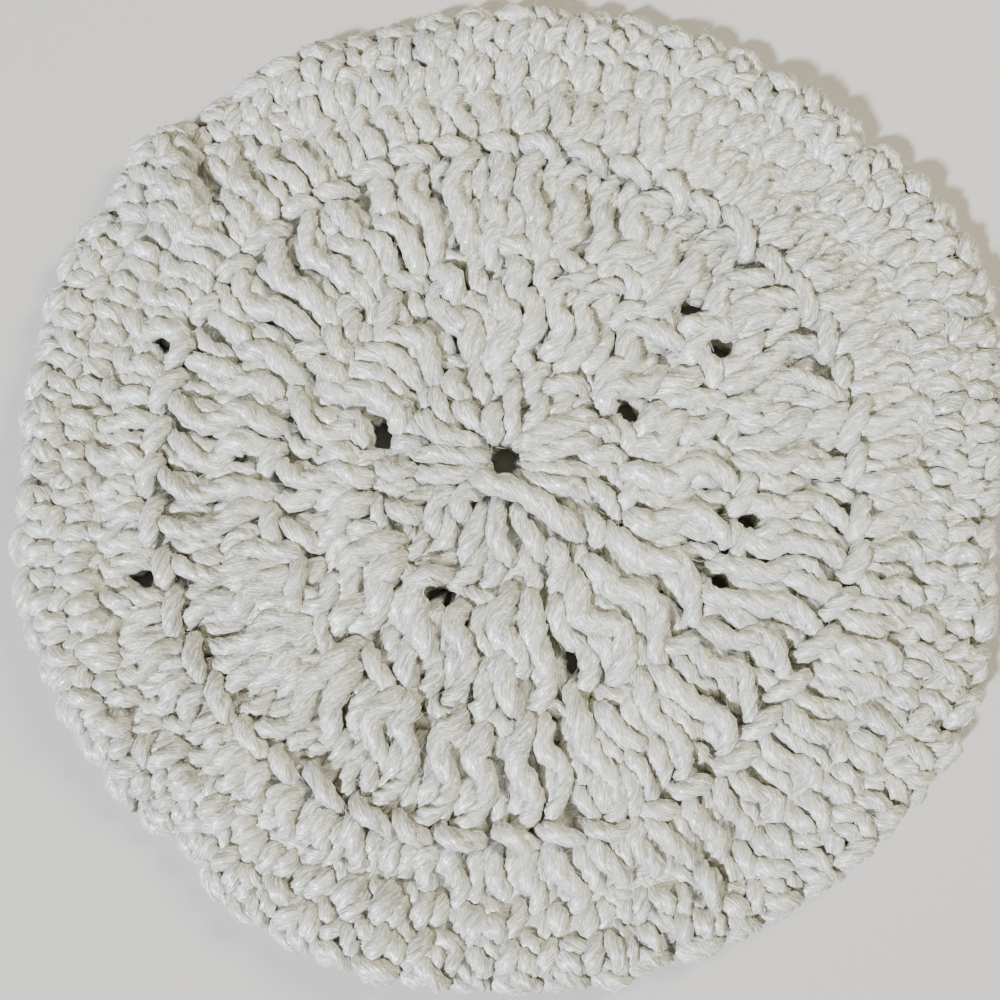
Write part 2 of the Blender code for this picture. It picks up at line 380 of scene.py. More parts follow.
RING_CLEAR = 0.9  # strands keep this far from the middle of the centre ring
HOLD = 0.045  # how firmly a strand stays where the hook laid it
SPRING = 0.35  # how firmly it keeps its curve
PASSES = 36
LOOK_AGAIN = 4  # passes before the neighbours are looked for again
OVERSHOOT = 1.3  # each push goes a little past what it needs
NEAR_IN_STRAND = 5  # points of one strand this few steps apart don't push each other
TOP = 9.8  # no strand rises higher, apart from the folds
ABOVE_TABLE = 1.02  # height of a strand's middle over the table, as a share of its radius
OPENING_SHARE = 0.92  # share of its radius that a strand keeps out of an opening
ONE_SIDE = 1.6  # how firmly a strand keeps to one side of an opening
USED_RANGE = (0.0, 500.0)  # yarn used up before a piece's first strand
HIDDEN_RANGE = (5.0, 40.0)  # yarn out of sight between one strand and the next
NO_LENGTH = 1e-6  # the least length that anything is divided by


def smooth_path(path, thick):
    """Points every ring step along a smooth curve through the path, with the strand's radius."""
    path, thick = np.array(path, float), np.array(thick, float)
    knots = np.vstack([2 * path[0] - path[1], path, 2 * path[-1] - path[-2]])
    middle, radius = [], []
    for i in range(len(path) - 1):
        p0, p1, p2, p3 = knots[i : i + 4]
        steps = max(1, int(round(np.linalg.norm(p2 - p1) / RING_STEP)))
        for s in range(steps):
            t = s / steps
            square = 2 * p0 - 5 * p1 + 4 * p2 - p3
            cube = 3 * p1 - p0 - 3 * p2 + p3
            middle.append(0.5 * (2 * p1 + (p2 - p0) * t + square * t * t + cube * t**3))
            radius.append(thick[i] + (thick[i + 1] - thick[i]) * t)
    middle.append(path[-1])
    radius.append(thick[-1])
    return np.array(middle), np.array(radius)


def off_slot(points, spot, along):
    """From the nearest point of a slot's middle line to each point, seen from above."""
    away = points[:, :2] - spot
    half_long = np.linalg.norm(along)
    unit = along / max(half_long, NO_LENGTH)
    return away - np.clip(away @ unit, -half_long, half_long)[:, None] * unit


SKEINS = []


class Skein:
    """Strands of one piece, gathered before its mesh is made."""

    earlier = []

    def __init__(self):
        self.strands = []
        self.length = hand.uniform(*USED_RANGE)

    def add(self, path, thick, sides=SIDES):
        middle, radius = smooth_path(path, thick)
        self.strands.append([middle, radius, sides])

    def settle(self, give):
        """Moves overlapping strands apart, round the eyelets and between the table and the top.

        Two strands pressed together stop at the share of their width that give says.
        """
        place = np.vstack([s[0] for s in self.strands])
        half = np.concatenate([s[1] for s in self.strands])
        owner = np.concatenate([np.full(len(s[0]), k) for k, s in enumerate(self.strands)])
        laid = place.copy()
        still = np.vstack([p for p, r in Skein.earlier]) if Skein.earlier else np.zeros((0, 3))
        still_half = np.concatenate([r for p, r in Skein.earlier]) if Skein.earlier else np.zeros(0)
        count = len(place)
        inner = (owner[1:-1] == owner[:-2]) & (owner[1:-1] == owner[2:])
        mid = np.nonzero(inner)[0] + 1
        curve = laid[mid] - (laid[mid - 1] + laid[mid + 1]) / 2.0
        ceiling = np.array([TOP + fold_rise(Vector(p[:2]) - RING_PLACE) for p in laid]) - half
        reach = 2.0 * max(half.max(), still_half.max() if len(still_half) else 0.0)
        for step in range(PASSES):
            if step % LOOK_AGAIN == 0:
                tree = kdtree.KDTree(count + len(still))
                for i, p in enumerate(place):
                    tree.insert(p, i)
                for i, p in enumerate(still):
                    tree.insert(p, count + i)
                tree.balance()
                left, right = [], []
                for i in range(count):
                    for _, j, _ in tree.find_range(place[i], reach):
                        if j > i and (j >= count or owner[j] != owner[i] or j - i > NEAR_IN_STRAND):
                            left.append(i)
                            right.append(j)
                left, right = np.array(left), np.array(right)
                both_half = np.concatenate([half, still_half])
                room = give * (both_half[left] + both_half[right])
                moving = right < count
            everyone = np.vstack([place, still])
            apart = everyone[left] - everyone[right]
            distance = np.maximum(np.linalg.norm(apart, axis=1), NO_LENGTH)
            push = np.maximum(room - distance, 0.0) / distance
            shift = apart * push[:, None]
            share = np.where(moving, 0.5, 1.0)[:, None]
            move = np.zeros_like(place)
            weight = np.zeros(count)
            np.add.at(move, left, shift * share)
            np.add.at(move, right[moving], -0.5 * shift[moving])
            np.add.at(weight, left, push > 0)
            np.add.at(weight, right[moving], push[moving] > 0)
            place += move / np.maximum(weight, 1.0)[:, None] * OVERSHOOT
            place += HOLD * (laid - place)
            place[mid] += SPRING * ((place[mid - 1] + place[mid + 1]) / 2.0 + curve - place[mid])
            for spot, along, keep in OPENINGS:
                away = off_slot(place, spot, along)
                far = np.maximum(np.linalg.norm(away, axis=1), NO_LENGTH)
                short = np.maximum(keep + half * OPENING_SHARE - far, 0.0)
                close = np.nonzero(short)[0]
                aside = away[close] / far[close, None]
                leaning = np.zeros((len(self.strands), 2))
                np.add.at(leaning, owner[close], aside)
                leaning /= np.maximum(np.linalg.norm(leaning, axis=1), NO_LENGTH)[:, None]
                aside += ONE_SIDE * leaning[owner[close]]
                aside /= np.maximum(np.linalg.norm(aside, axis=1), NO_LENGTH)[:, None]
                place[close, :2] += aside * short[close, None]
            lowest = half * ABOVE_TABLE
            place[:, 2] = np.clip(place[:, 2], lowest, np.maximum(ceiling, lowest))
        start = 0
        for strand in self.strands:
            strand[0] = place[start : start + len(strand[0])]
            start += len(strand[0])
        Skein.earlier.append((place, half))

    def make(self, name, give=0.8):
        """Settles the strands and sweeps them as one mesh, which rides as part of the holder."""
        self.settle(give)
        SKEINS.append(self)
        points, faces, rests = [], [], []
        for middle, radius, sides in self.strands:
            base = len(points)
            count = len(middle)
            ahead = np.gradient(middle, axis=0)
            ahead /= np.linalg.norm(ahead, axis=1)[:, None]
            steps = np.linalg.norm(np.diff(middle, axis=0), axis=1)
            lengths = np.concatenate([[0.0], np.cumsum(steps)])
            side = np.cross(ahead[0], START_SIDE)
            side /= np.linalg.norm(side)
            ends = np.minimum(lengths, lengths[-1] - lengths)
            radius = radius * np.clip(END_SHARE + (1.0 - END_SHARE) * ends / END_LENGTH, 0.0, 1.0)
            around = np.arange(sides) * 2 * math.pi / sides
            groove = PLY_GROOVE if sides == SIDES else 0.0
            lobe = 1.0 - groove * (1.0 - np.sqrt(np.abs(np.sin(PLIES / 2 * around))))
            start = hand.uniform(0.0, 2 * math.pi)
            twist = 0.0
            for i in range(count):
                side = side - ahead[i] * side.dot(ahead[i])
                side /= np.linalg.norm(side)
                up = np.cross(ahead[i], side)
                if i:
                    slack = min(max((2.0 * radius[i] / YARN) ** 2, TIGHTEST), SLACKEST)
                    twist += 2 * math.pi * (lengths[i] - lengths[i - 1]) / (SLACK_TWIST * slack)
                turn = start + twist + around
                slub = sum(depth * math.sin(lengths[i] * rate + way * start) for depth, rate, way in SLUBS)
                oval = OVAL * np.sin(2 * around + OVAL_RATE * lengths[i])
                oval = oval + THREE_SIDED * np.sin(3 * around - THREE_SIDED_RATE * lengths[i] + start)
                reach = radius[i] * lobe * (1.0 + slub + oval)
                outward = np.cos(turn)[:, None] * side + np.sin(turn)[:, None] * up
                points.extend(middle[i] + reach[:, None] * outward)
                wound = np.full(sides, self.length + lengths[i])
                rests.extend(np.stack([YARN / 2 * np.cos(around), YARN / 2 * np.sin(around), wound], 1))
            for i in range(count - 1):
                a, b = base + i * sides, base + (i + 1) * sides
                for s in range(sides):
                    n = (s + 1) % sides
                    faces.append((a + s, a + n, b + n, b + s))
            faces.append(tuple(base + s for s in reversed(range(sides))))
            faces.append(tuple(base + (count - 1) * sides + s for s in range(sides)))
            self.length += lengths[-1] + hand.uniform(*HIDDEN_RANGE)
        mesh = bpy.data.meshes.new(name)
        points = np.array(points)
        points[:, 2] = np.maximum(points[:, 2], TABLE_CLEAR)
        mesh.from_pydata((points * MM).tolist(), [], faces)
        rest = mesh.attributes.new("strand", "FLOAT_VECTOR", "POINT")
        rest.data.foreach_set("vector", np.array(rests, np.float32).ravel())
        mesh.shade_smooth()
        mesh.materials.append(yarn_finish)
        piece = bpy.data.objects.new(name, mesh)
        bpy.context.scene.collection.objects.link(piece)
        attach(piece, "root")
        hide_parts(HOLDER)
        return piece


# The openings that strands keep out of: the middle of each, half its length as a vector, and the
# room kept to either side of that line.
OPENINGS = [(np.array(RING_PLACE), np.zeros(2), RING_CLEAR)]
for eyelet in EYELETS:
    spot = np.array(ring_point(eyelet.radius, eyelet.angle) + RING_PLACE)
    along = np.array(ring_point(eyelet.along / 2.0, eyelet.turn))
    OPENINGS.append((spot, along, eyelet.across / 2.0))

# ---------------------------------------------------------------------------------------------
# Double crochet, the three inner rounds.  Each stitch is one yarn drawn up in legs at the front and
# back and closed by a loop at its top; the loops of the third round stand up as a ridge.  The first
# round's twelve stitches are the photograph's most crooked ones, so their strands are listed one by one.
# ---------------------------------------------------------------------------------------------
FRONT_LEG = (
    Bend(-0.12, 0.10, 1.8, 0.80),
    Bend(0.00, 0.02, 4.4, 0.92),
    Bend(0.12, -0.06, 6.6, 1.06),
    Bend(0.28, -0.08, 7.5, 1.12),
    Bend(0.43, 0.06, 7.4, 1.06),
    Bend(0.54, 0.28, 6.9, 0.94),
    Bend(0.64, 0.40, 6.6, 0.86),
    Bend(0.75, 0.30, 6.7, 0.82),
    Bend(0.87, 0.04, 6.4, 0.82),
    Bend(0.98, -0.16, 5.0, 0.76),
    Bend(1.05, -0.24, 3.0, 0.70),
)
SIDE_LEG = (
    Bend(-0.10, -0.22, 1.6, 0.80),
    Bend(0.03, -0.34, 3.4, 0.90),
    Bend(0.16, -0.46, 4.7, 1.00),
    Bend(0.32, -0.50, 5.3, 1.02),
    Bend(0.46, -0.38, 5.0, 0.96),
    Bend(0.56, -0.20, 4.3, 0.86),
    Bend(0.65, -0.02, 3.4, 0.78),
)
UPPER_LEG = (
    Bend(0.44, -0.10, 3.2, 0.76),
    Bend(0.54, -0.30, 4.4, 0.86),
    Bend(0.66, -0.38, 5.2, 0.92),
    Bend(0.78, -0.32, 5.4, 0.88),
    Bend(0.89, -0.36, 5.0, 0.84),
    Bend(0.98, -0.46, 3.9, 0.80),
    Bend(1.05, -0.50, 2.6, 0.72),
)
FILL_LEG = (
    Bend(0.38, 0.12, 3.2, 0.84),
    Bend(0.50, 0.06, 4.8, 0.98),
    Bend(0.64, 0.07, 5.6, 1.04),
    Bend(0.78, 0.02, 5.5, 0.98),
    Bend(0.90, 0.10, 4.6, 0.90),
    Bend(1.00, 0.20, 3.2, 0.80),
)
BACK_LEG = (
    Bend(-0.08, 0.22, 2.6, 0.84),
    Bend(0.15, 0.27, 2.1, 0.98),
    Bend(0.45, 0.30, 2.0, 1.02),
    Bend(0.75, 0.27, 2.0, 0.98),
    Bend(1.06, 0.22, 2.6, 0.84),
)
FRONT_LOOP = (
    Bend(-0.6, -0.50, 2.2, 0.70),
    Bend(-0.9, -0.40, 4.4, 0.84),
    Bend(-0.5, -0.18, 6.3, 0.98),
    Bend(0.2, 0.08, 6.7, 1.00),
    Bend(0.8, 0.30, 5.6, 0.88),
    Bend(0.9, 0.42, 3.8, 0.76),
    Bend(0.4, 0.48, 2.2, 0.68),
)
BACK_LOOP = (
    Bend(2.0, -0.56, 2.4, 0.76),
    Bend(2.8, -0.25, 3.8, 0.92),
    Bend(3.0, 0.10, 4.0, 0.94),
    Bend(2.6, 0.50, 2.6, 0.76),
)
RIM_LOOP = (
    Bend(-1.6, -0.60, 1.9, 0.86),
    Bend(0.1, -0.44, 3.0, 1.00),
    Bend(1.3, -0.14, 3.9, 1.06),
    Bend(1.4, 0.18, 4.0, 1.04),
    Bend(0.3, 0.46, 3.0, 0.98),
    Bend(-1.5, 0.60, 1.9, 0.86),
)

WOBBLE = 0.25  # how far any bend strays, in millimetres
STEADY_RADIUS = 7.0  # nearer to the ring the wobble's angle grows no more


def lay(skein, bends, inner, outer, base, top, pitch, half, rise=0.0, sides=SIDES, mirror=1.0):
    """One strand of a stitch, laid between two radii; side bends are shares of the stitch's width."""
    path, thick = [], []
    for bend in bends:
        radius = inner + (outer - inner) * bend.out
        share = min(max(bend.out, 0.0), 1.0)
        angle = base + (top - base) * share + mirror * bend.side * pitch
        angle += math.degrees(hand.uniform(-WOBBLE, WOBBLE) / max(radius, STEADY_RADIUS))
        up = bend.up + rise * smooth_step(bend.up / RAISED) + hand.uniform(-WOBBLE, WOBBLE)
        path.append(tuple(worked_place(radius + hand.uniform(-WOBBLE, WOBBLE), angle, up)))
        thick.append(half * bend.thick)
    skein.add(path, thick, sides)


LOOP_SLANT = 1.1
SLANT_RANGE = (-1.5, 1.5)
LOOP_SIZE_RANGE = (-0.2, 0.08)
LOOP_OUT_RANGE = (-0.8, 0.9)
LOOP_LIFT_RANGE = (-0.9, 0.6)
RIM_LIFT = 0.3


def lay_loops(skein, outer, angle, pitch, half, lift, loose=1.0, at_rim=False):
    """The two sides of the loop that closes a stitch; loose is how uneven the loops are."""
    slant = LOOP_SLANT + loose * hand.uniform(*SLANT_RANGE)
    size = 1.0 + loose * hand.uniform(*LOOP_SIZE_RANGE)
    off = loose * hand.uniform(*LOOP_OUT_RANGE)
    lift += loose * hand.uniform(*LOOP_LIFT_RANGE)
    front = [Bend(b.out * slant + off, b.side * size, b.up, b.thick * size) for b in FRONT_LOOP]
    lay(skein, front, outer, outer + 1.0, angle, angle, pitch, half, lift)
    if at_rim:
        lay(skein, RIM_LOOP, outer, outer + 1.0, angle, angle, pitch, half, lift * RIM_LIFT)
    else:
        lay(skein, BACK_LOOP, outer, outer + 1.0, angle, angle, pitch, half, 0.0, BACK_SIDES)


HOOKED_TOP = (
    Bend(0.54, 0.06, 3.4, 0.80),
    Bend(0.66, 0.28, 5.4, 0.90),
    Bend(0.78, 0.20, 6.2, 0.90),
    Bend(0.89, 0.00, 5.9, 0.86),
    Bend(0.98, -0.12, 4.6, 0.80),
    Bend(1.05, -0.18, 2.8, 0.72),
)

RING_STRAND = 3.5
RING_STRAND_HALF = 1.3
RING_STRAND_HEIGHT = 3.4
RING_STRAND_TURN = 30.0
RING_STRAND_POINTS = 14  # past a full turn, so that its ends overlap

Placed = namedtuple("Placed", "name crown half spots")
FIRST_STRANDS = (
    Placed(
        "long, upper left",
        7.0,
        1.95,
        ((-2.6, 0.8), (-7.1, 2.6), (-10.6, 4.5), (-13.4, 6.3), (-15.4, 7.6)),
    ),
    Placed("oval beside it", 6.6, 1.9, ((-2.4, 1.8), (-6.0, 5.3), (-7.6, 8.1), (-9.0, 10.4))),
    Placed("short oval over the hole", 7.4, 1.85, ((-1.2, 2.2), (-2.7, 4.9), (-2.4, 7.6), (-1.4, 9.9))),
    Placed(
        "S-bent, above the hole",
        7.0,
        1.7,
        ((0.5, 2.4), (1.3, 5.2), (0.6, 8.1), (1.6, 11.0), (3.2, 13.8)),
    ),
    Placed("bent, upper right", 6.8, 1.75, ((1.9, 1.7), (5.3, 4.8), (7.1, 7.1), (6.0, 10.0), (3.8, 12.0))),
    Placed("long, right, upper", 6.9, 2.1, ((2.5, 0.6), (7.1, 3.7), (11.8, 5.5), (16.8, 6.6))),
    Placed("long, right, lower", 6.3, 2.0, ((2.6, -0.4), (8.5, 1.0), (12.9, 2.6), (17.0, 3.2))),
    Placed("flat, right", 5.8, 1.9, ((2.6, -1.1), (8.5, -1.9), (12.4, -2.2), (16.2, -1.4))),
    Placed("lower right", 5.8, 1.9, ((2.4, -1.9), (8.0, -4.6), (12.0, -5.6), (16.6, -6.8))),
    Placed(
        "strand that crosses below the hole",
        7.7,
        2.15,
        (
            (-8.6, -2.4),
            (-4.1, -4.2),
            (-0.2, -4.9),
            (2.8, -5.9),
            (5.8, -7.8),
            (8.1, -10.3),
            (11.1, -12.9),
            (14.3, -13.4),
        ),
    ),
    Placed("lower left", 6.8, 1.85, ((-2.2, -2.4), (-6.6, -5.4), (-8.5, -8.2), (-8.0, -11.6))),
    Placed("left, upper", 6.6, 1.85, ((-2.6, -0.4), (-7.6, -0.4), (-12.2, 0.7), (-16.6, 1.4))),
    Placed("left, lower", 6.4, 1.85, ((-2.7, -1.2), (-8.8, -3.2), (-12.7, -2.8), (-16.1, -1.6))),
    Placed("between the left ones", 5.2, 1.7, ((-5.4, 1.2), (-9.4, 2.2), (-13.4, 3.6), (-17.2, 3.9))),
    Placed("plump, straight down", 7.2, 1.9, ((-1.4, -6.6), (-1.8, -10.6), (-1.2, -14.8), (0.2, -18.8))),
    Placed("down, left of it", 6.4, 1.8, ((-3.4, -7.2), (-5.3, -11.0), (-6.4, -14.8), (-8.2, -17.6))),
    Placed("down, right of it", 6.6, 1.8, ((1.8, -7.6), (3.1, -11.4), (4.6, -15.2), (6.6, -18.8))),
    Placed("under the crossing strand", 5.0, 1.8, ((4.8, -8.4), (7.0, -12.6), (9.4, -16.0), (12.2, -18.4))),
    Placed("hollow, lower left", 5.6, 1.8, ((-7.0, -3.8), (-11.4, -6.4), (-13.2, -10.0), (-11.6, -13.4))),
    Placed("outer, lower left", 6.0, 1.85, ((-10.8, -5.0), (-15.2, -8.0), (-16.8, -12.2), (-14.0, -16.0))),
    Placed("curl, upper left", 5.8, 1.8, ((-4.6, 3.4), (-9.6, 7.0), (-12.6, 9.6), (-11.4, 12.4))),
    Placed("curl, upper right", 5.9, 1.8, ((4.2, 4.0), (9.0, 8.0), (11.0, 11.4), (8.6, 13.8))),
    Placed("between the right ones", 5.0, 1.7, ((4.0, 1.4), (9.4, 2.6), (14.0, 4.6), (18.0, 5.2))),
    Placed("under, right", 4.8, 1.8, ((4.0, -1.2), (9.8, -0.4), (14.4, 0.4), (18.4, 0.8))),
    Placed("under, lower right", 4.8, 1.8, ((4.2, -3.4), (9.6, -6.8), (13.6, -8.6), (17.6, -10.2))),
    Placed("under, left", 4.8, 1.8, ((-4.4, -1.2), (-9.8, -1.6), (-14.4, -0.6), (-18.4, -0.4))),
    Placed("under, outer left", 4.8, 1.8, ((-6.0, -4.8), (-10.4, -8.8), (-10.0, -13.0), (-10.8, -17.0))),
)

PLACED_STRAY = 0.75
PLACED_END = 2.4  # height from which a placed strand's arch rises out of the cloth
ARCH_START = 0.35  # how far into the arch its first spot lies, in steps from spot to spot
ARCH_ROUND = 0.6  # a smaller power makes the arch flatter on top
END_THICK, CROWN_THICK = 0.82, 0.27


def lay_placed(skein, strand):
    """A strand laid along given spots; it dips into the cloth at both ends and is highest in the middle."""
    last = len(strand.spots) - 1
    path, thick = [], []
    for k, spot in enumerate(strand.spots):
        rise = math.sin(math.pi * (k + ARCH_START) / (last + 2 * ARCH_START)) ** ARCH_ROUND
        place = Vector(spot)
        if 0 < k < last:
            stray_x = hand.uniform(-PLACED_STRAY, PLACED_STRAY)
            stray_y = hand.uniform(-PLACED_STRAY, PLACED_STRAY)
            place += Vector((stray_x, stray_y))
        up = PLACED_END + (strand.crown - PLACED_END) * rise
        up += fold_rise(place) * smooth_step(up / RAISED)
        place += RING_PLACE
        path.append((place.x, place.y, up))
        thick.append(strand.half * (END_THICK + CROWN_THICK * rise))
    skein.add(path, thick)


FIRST, SECOND, THIRD, HALF, SINGLE, RIM = ROUNDS
LOOP_SHARE = 0.92  # thickness of a loop, as a share of the strands' own
SIZE_RANGE = (0.92, 1.06)
FIRST_TOP_STRAY = 0.15
TOP_STRAY = 0.12


def first_round(name, inner, outer, stitches, start, half, ridge):
    """The placed strands, the ring, and each stitch's hidden legs and loop."""
    skein = Skein()
    pitch = 360.0 / stitches
    for strand in FIRST_STRANDS:
        lay_placed(skein, strand)
    ring = []
    for k in range(RING_STRAND_POINTS):
        ring.append(worked_place(RING_STRAND, RING_STRAND_TURN * k, RING_STRAND_HEIGHT))
    skein.add(ring, [RING_STRAND_HALF] * len(ring))
    for k in range(stitches):
        top = start + pitch * (k + 0.5 + hand.uniform(-FIRST_TOP_STRAY, FIRST_TOP_STRAY))
        size = half * hand.uniform(*SIZE_RANGE)
        for bends in (HOOKED_TOP, UPPER_LEG):
            lay(skein, bends, inner, outer, top, top, pitch, size)
        for mirror in (1.0, -1.0):
            lay(skein, BACK_LEG, inner, outer, top, top, pitch, size, 0.0, BACK_SIDES, mirror)
        lay_loops(skein, outer, top, pitch, half * LOOP_SHARE, ridge)
    return skein.make(name)


# How far single stitches stray: in height, slack, lean, where they narrow, and thickness.
RISE_RANGE = (-0.9, 0.7)
SLACK_RANGE = (0.35, 1.5)
LEAN_RANGE = (-0.24, 0.24)
WAIST_RANGE = (-0.12, 0.1)
STRAND_RANGE = (0.9, 1.1)
FILLED = 1.0  # share of the stitches with a leg that fills the space beside the hook
SUNK = 0.3  # share of the stitches whose hooked end sinks under its neighbours
SUNK_RANGE = (1.2, 2.4)
SUNK_LEGS = -0.5  # the other legs of such a stitch rise by this share of it
GROUP_FAN = 0.5  # how far a group's feet spread, as a share of its tops
WAIST_AT, WAIST_WIDTH = 0.6, 0.3
HOOK_AT, HOOK_WIDTH = 0.8, 0.25


def double_round(name, inner, outer, stitches, group, start, half, ridge, loose=1.0):
    """Stitches worked in groups out of one loop, each leaning and slack in its own way."""
    skein = Skein()
    pitch = 360.0 / stitches
    for k in range(stitches):
        top = start + pitch * (k + 0.5 + hand.uniform(-TOP_STRAY, TOP_STRAY))
        middle = start + pitch * (k // group * group + group / 2.0)
        base = middle + (top - middle) * GROUP_FAN
        size = half * hand.uniform(*SIZE_RANGE)
        rise = hand.uniform(*RISE_RANGE)
        slack = hand.uniform(*SLACK_RANGE)
        lean = hand.uniform(*LEAN_RANGE)
        waist = hand.uniform(*WAIST_RANGE)
        sunk = hand.uniform(*SUNK_RANGE) if hand.random() < SUNK else 0.0
        legs = [FRONT_LEG, SIDE_LEG, UPPER_LEG]
        if hand.random() < FILLED:
            legs.append(FILL_LEG)
        for bends in legs:
            swung = []
            for b in bends:
                side = b.side * slack if b.side > 0 else b.side
                out = b.out + waist * bell(b.out - WAIST_AT, WAIST_WIDTH)
                low = SUNK_LEGS * sunk
                if bends is FRONT_LEG:
                    low = sunk * bell(b.out - HOOK_AT, HOOK_WIDTH)
                swung.append(Bend(out, side + lean * smooth_step(b.out), b.up - low, b.thick))
            lay(skein, swung, inner, outer, base, top, pitch, size * hand.uniform(*STRAND_RANGE), rise)
        for mirror in (1.0, -1.0):
            lay(skein, BACK_LEG, inner, outer, base, top, pitch, size, 0.0, BACK_SIDES, mirror)
        lay_loops(skein, outer, top, pitch, half * LOOP_SHARE, ridge, loose)
    return skein.make(name)


first = first_round(
    "first_round_doubles",
    inner=3.4,
    outer=FIRST.edge,
    stitches=FIRST.stitches,
    start=7.5,
    half=2.0,
    ridge=-1.2,
)
second = double_round(
    "second_round_doubles",
    inner=FIRST.edge,
    outer=SECOND.edge,
    stitches=SECOND.stitches,
    group=2,
    start=20.0,
    half=2.3,
    ridge=-1.0,
)
third = double_round(
    "third_round_doubles",
    inner=SECOND.edge,
    outer=THIRD.edge,
    stitches=THIRD.stitches,
    group=2,
    start=12.5,
    half=2.1,
    ridge=1.2,
    loose=0.35,
)

# ---------------------------------------------------------------------------------------------
# The outer rounds: half doubles that fan out from the ridge, then two rounds of singles, the last
# of which is the rim.  Short stitches in the same yarn, worked tighter, with V-shaped legs and
# loops that lie close to the cloth.
# ---------------------------------------------------------------------------------------------
HALF_LEG = (
    Bend(0.05, 0.10, 2.4, 0.84),
    Bend(0.15, 0.02, 4.8, 0.96),
    Bend(0.32, -0.05, 6.2, 1.06),
    Bend(0.52, 0.02, 6.5, 1.06),
    Bend(0.68, 0.22, 6.2, 0.96),
    Bend(0.82, 0.36, 5.8, 0.90),
    Bend(0.96, 0.18, 5.0, 0.88),
    Bend(1.10, -0.10, 3.2, 0.80),
)
HALF_SIDE_LEG = (
    Bend(0.06, -0.36, 2.0, 0.84),
    Bend(0.18, -0.40, 4.2, 0.94),
    Bend(0.35, -0.45, 5.4, 1.02),
    Bend(0.55, -0.44, 5.7, 1.00),
    Bend(0.75, -0.38, 5.3, 0.92),
    Bend(0.92, -0.42, 4.4, 0.86),
    Bend(1.08, -0.48, 2.8, 0.78),
)
V_LEG = (
    Bend(-0.20, 0.10, 2.0, 0.84),
    Bend(0.02, 0.14, 4.4, 0.94),
    Bend(0.28, 0.22, 5.8, 1.02),
    Bend(0.56, 0.32, 6.0, 1.00),
    Bend(0.80, 0.34, 5.2, 0.92),
    Bend(1.02, 0.24, 3.8, 0.84),
    Bend(1.14, 0.14, 2.4, 0.76),
)
SHORT_BACK_LEG = (
    Bend(-0.10, 0.0, 2.4, 0.84),
    Bend(0.25, 0.04, 1.8, 1.0),
    Bend(0.65, -0.04, 1.8, 1.0),
    Bend(1.05, 0.0, 2.3, 0.84),
)

CLOSE = 0.72  # the outer rounds are worked tighter, so their strands lie closer
SHORT_SIZE_RANGE = (0.9, 1.06)
SHORT_RISE_RANGE = (-0.4, 0.5)
SHORT_BACK_SHARE = 1.2
SHORT_LOOP_SHARE = 0.94
SHORT_LOOSE = 0.6


def short_round(
    name, legs, inner, outer, stitches, start, half, lift, ridge, gap=0.0, fan=1.0, at_rim=False
):
    """Short stitches; where a gap is given, they fan out from the gaps between the loops inside."""
    skein = Skein()
    pitch = 360.0 / stitches
    for k in range(stitches):
        top = start + pitch * (k + 0.5 + hand.uniform(-TOP_STRAY, TOP_STRAY))
        base = top
        if gap:
            nearest = start + gap * round(pitch * (k + 0.5) / gap)
            base = nearest + (top - nearest) * fan
        size = half * hand.uniform(*SHORT_SIZE_RANGE)
        rise = hand.uniform(*SHORT_RISE_RANGE) + lift
        for bends, mirror, lower in legs:
            lay(skein, bends, inner, outer, base, top, pitch, size, rise - lower, SIDES, mirror)
        back = size * SHORT_BACK_SHARE
        lay(skein, SHORT_BACK_LEG, inner, outer, base, top, pitch, back, 0.0, BACK_SIDES)
        lay_loops(skein, outer, top, pitch, half * SHORT_LOOP_SHARE, ridge, SHORT_LOOSE, at_rim)
    return skein.make(name, CLOSE)


# Each leg with the side that it lies to and how much lower it lies.
HALF_LEGS = ((HALF_LEG, 1.0, 0.0), (HALF_SIDE_LEG, 1.0, 0.0))
V_LEGS = ((V_LEG, 1.0, 0.0), (V_LEG, -1.0, 0.5))
SINGLES_END = 80.0
fourth = short_round(
    "half_doubles",
    HALF_LEGS,
    inner=THIRD.edge,
    outer=HALF.edge,
    stitches=HALF.stitches,
    start=5.0,
    half=1.95,
    lift=0.2,
    ridge=-2.2,
    gap=7.5,
    fan=0.4,
)
fifth = short_round(
    "singles",
    V_LEGS,
    inner=73.9,
    outer=SINGLES_END,
    stitches=SINGLE.stitches,
    start=0.0,
    half=1.95,
    lift=0.0,
    ridge=-1.2,
)
sixth = short_round(
    "rim_round",
    V_LEGS,
    inner=SINGLES_END,
    outer=85.2,
    stitches=RIM.stitches,
    start=2.5,
    half=1.9,
    lift=-0.4,
    ridge=-1.4,
    at_rim=True,
)

# ---------------------------------------------------------------------------------------------
# Loose fibres.  Spun acrylic has a halo of fine ends that lie along the strand, and just over half
# of them stray a little further off it.  They are drawn 0.06 mm thick, coarser than real ones, and
# fewer.
# ---------------------------------------------------------------------------------------------
FIBRE = 0.032  # a fibre's radius
FIBRE_SIDES = 3
FIBRE_SEED = 5
CURVED_RINGS = 3
CURVED_LONGEST = 3.4
SHORT_RINGS = 2
SHORT_LONGEST = 1.9
SHORTEST_SHARE = 0.4
LIFT_RANGE = (0.1, 0.5)
CURL = 0.5
STRAY = 0.55  # share of the fibres that stray further off the strand
STRAY_LONGER = 1.3
STRAY_LIFT_RANGE = (0.2, 1.2)
STRAY_CURL = 0.9
MORE_UPWARD = (0.0, 0.0, 0.5)
ROOTED = 0.93  # a fibre starts at this share of the strand's radius
BOW = 0.15
TIP_THINNER = 0.6
FIBRE_CLEAR = 0.5  # room between a fibre's tip and an opening


def clear_of_openings(ends):
    """Which of the points lie outside every opening."""
    clear = np.ones(len(ends), bool)
    for spot, along, keep in OPENINGS:
        clear &= np.linalg.norm(off_slot(ends, spot, along), axis=1) > keep + FIBRE_CLEAR
    return clear


